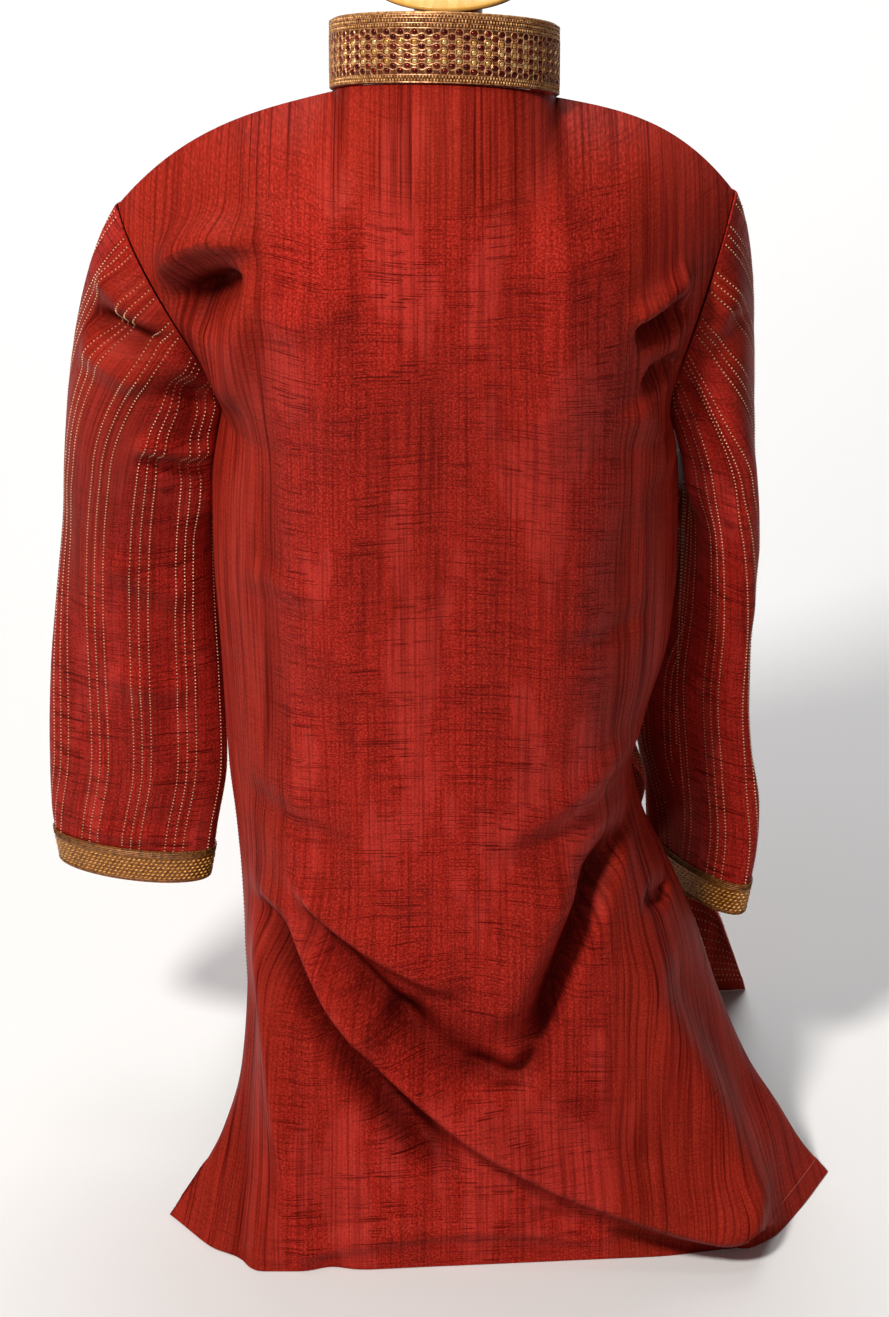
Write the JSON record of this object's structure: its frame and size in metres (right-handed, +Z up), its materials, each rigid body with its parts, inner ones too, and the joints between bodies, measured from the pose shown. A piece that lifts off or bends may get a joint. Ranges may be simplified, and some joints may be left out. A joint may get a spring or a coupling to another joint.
{
  "type": "kurta tunic on a dress form",
  "caption": "Red slub-silk kurta tunic with beaded stand collar, long sleeves with beaded cuffs and side slits, worn by a small limbless dress form on a round base.",
  "frame": {"origin": "centre of the round base's underside, on the surface the form stands on", "axes": "+Z up; the garment's front faces -Y and its back +Y; +X is the wearer's left"},
  "size_m": [0.4929, 0.3497, 0.7889],
  "materials": {
    "silk": "slub silk with a soft sheen",
    "beaded_trim": "beaded and sequined gold braid",
    "button_gold": "polished",
    "jersey": "plain cotton jersey",
    "wood": "varnished",
    "steel": "satin"
  },
  "bodies": {
    "root": {"back_panel": "silk", "front_panel": "silk", "placket": "silk", "sleeve_left": "silk", "sleeve_right": "silk", "collar": "silk", "collar_trim": "beaded_trim", "cuff_trim_left": "beaded_trim", "cuff_trim_right": "beaded_trim", "button_1": "button_gold", "button_2": "button_gold", "button_3": "button_gold", "button_4": "button_gold", "form_torso": "jersey", "form_cap": "wood", "form_pole": "steel", "form_base": "wood"}
  },
  "joints": []
}
